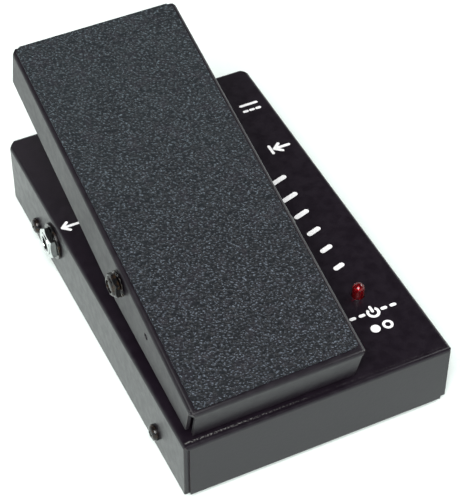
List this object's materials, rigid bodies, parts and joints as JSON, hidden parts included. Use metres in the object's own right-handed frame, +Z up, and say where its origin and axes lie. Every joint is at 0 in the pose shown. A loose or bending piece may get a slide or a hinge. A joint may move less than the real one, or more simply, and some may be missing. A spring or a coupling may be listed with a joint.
{
  "type": "volume pedal",
  "caption": "Floor volume pedal: folded black steel case with an offset rocking treadle under a grip mat, side jacks, red status light and rubber feet.",
  "frame": {"origin": "on the ground, under the middle of the case: the bottom centre of the bounding box", "axes": "+X to the right as the player stands behind the heel edge, +Y from the heel edge to the toe edge (the longest extent), +Z up (the shortest extent)"},
  "size_m": [0.1232, 0.1844, 0.0916],
  "materials": {
    "powder_coat": "semi-gloss black powder coat",
    "grip_mat": "matt black-grey pebbled grip sheet",
    "bright_chrome": "polished chrome",
    "black_hardware": "glossy black oxide",
    "zinc_hardware": "bright zinc plate",
    "black_rubber": "matt black rubber",
    "natural_nylon": "natural white nylon",
    "black_moulding": "matt black moulding",
    "red_lens": "clear red lens",
    "board_laminate": "green glass-fibre laminate",
    "amber_lens": "amber lamp",
    "battery_wrap": "black printed wrap, no lettering"
  },
  "bodies": {
    "base": {"base_cover": "powder_coat", "bottom_plate": "powder_coat", "pivot_bracket": "powder_coat", "output_jack_bushing": "bright_chrome", "output_jack_nut": "bright_chrome", "input_jack_bushing": "bright_chrome", "input_jack_nut": "bright_chrome", "power_jack_pin": "bright_chrome", "cover_screw_left_heel": "black_hardware", "cover_screw_left_toe": "black_hardware", "cover_screw_right_heel": "black_hardware", "cover_screw_right_toe": "black_hardware", "output_jack_washer": "black_hardware", "input_jack_washer": "black_hardware", "foot_screw_left_heel": "zinc_hardware", "foot_screw_left_toe": "zinc_hardware", "foot_screw_right_heel": "zinc_hardware", "foot_screw_right_toe": "zinc_hardware", "bracket_rivet_left": "zinc_hardware", "bracket_rivet_right": "zinc_hardware", "photocell": "zinc_hardware", "battery_strap": "zinc_hardware", "rubber_foot_left_heel": "black_rubber", "rubber_foot_left_toe": "black_rubber", "rubber_foot_right_heel": "black_rubber", "rubber_foot_right_toe": "black_rubber", "heel_bumper": "black_rubber", "toe_bumper_left": "black_rubber", "toe_bumper_right": "black_rubber", "pivot_bushing_left": "natural_nylon", "pivot_bushing_right": "natural_nylon", "board_support_1": "natural_nylon", "board_support_2": "natural_nylon", "board_support_3": "natural_nylon", "board_support_4": "natural_nylon", "output_jack": "black_moulding", "input_jack": "black_moulding", "power_jack": "black_moulding", "power_jack_nut": "black_moulding", "led_holder": "black_moulding", "optical_block": "black_moulding", "filter_capacitor": "black_moulding", "amplifier_chip": "black_moulding", "battery_snap": "black_moulding", "status_led": "red_lens", "circuit_board": "board_laminate", "lamp": "amber_lens", "battery": "battery_wrap"},
    "treadle": {"treadle_plate": "powder_coat", "treadle_mat": "grip_mat", "pivot_bolt_left": "black_hardware", "pivot_bolt_right": "black_hardware", "pivot_jam_nut_left": "zinc_hardware", "pivot_jam_nut_right": "zinc_hardware", "pivot_washer_left": "black_hardware", "pivot_washer_right": "black_hardware", "pivot_lock_nut_left": "black_hardware", "pivot_lock_nut_right": "black_hardware", "shutter_vane": "zinc_hardware", "shutter_screw": "zinc_hardware"}
  },
  "joints": [
    {"name": "treadle_pivot", "type": "hinge", "parent": "base", "child": "treadle", "pos_m": [-0.01765, -0.0267, 0.0571], "axis": [1, 0, 0], "range_deg": [-19.3, 0]}
  ]
}
